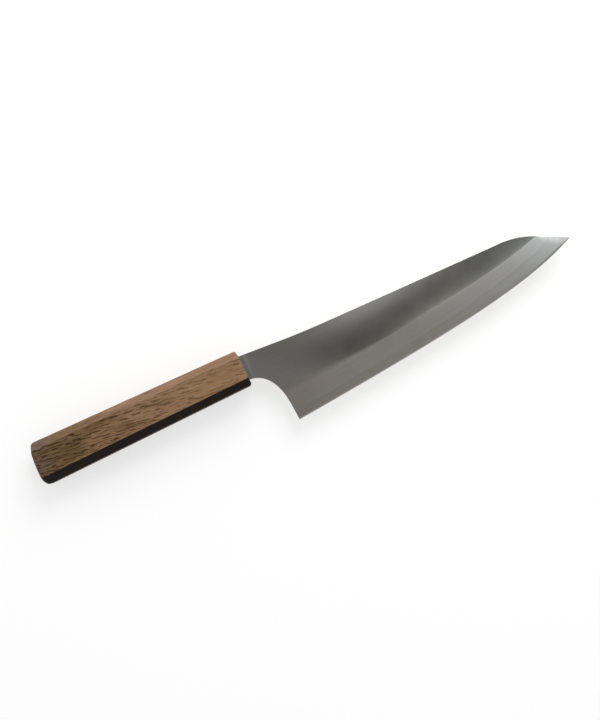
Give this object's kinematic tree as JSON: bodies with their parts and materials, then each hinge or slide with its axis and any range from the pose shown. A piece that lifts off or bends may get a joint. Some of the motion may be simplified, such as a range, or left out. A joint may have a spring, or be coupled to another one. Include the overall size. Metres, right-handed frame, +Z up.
{
  "type": "gyuto kitchen knife",
  "caption": "Gyuto chef's knife with a wide-bevel three-layer steel blade and dropped tip on a hidden tang in a tapered octagonal lacquered oak handle.",
  "frame": {"origin": "middle of the knife's footprint as it lies on its left side, on the surface under the handle", "axes": "+X along the handle to the tip, +Y from the cutting edge to the spine, +Z up out of the blade's right face"},
  "size_m": [0.3674, 0.0582, 0.021],
  "materials": {
    "core_steel": "fine ground along the bevel",
    "cladding_steel": "satin polished flats, ground bevels",
    "lacquered_oak": "thin brown lacquer over open-pored oak, black lacquer on the lower facets",
    "liner_wood": "plain turned softwood",
    "resin": "clear set resin",
    "seal_resin": "smoothed resin bead"
  },
  "bodies": {
    "root": {"blade_core": "core_steel", "blade_cladding_right": "cladding_steel", "blade_cladding_left": "cladding_steel", "handle_body": "lacquered_oak", "tang_liner": "liner_wood", "tang_adhesive": "resin", "mouth_seal": "seal_resin"}
  },
  "joints": []
}
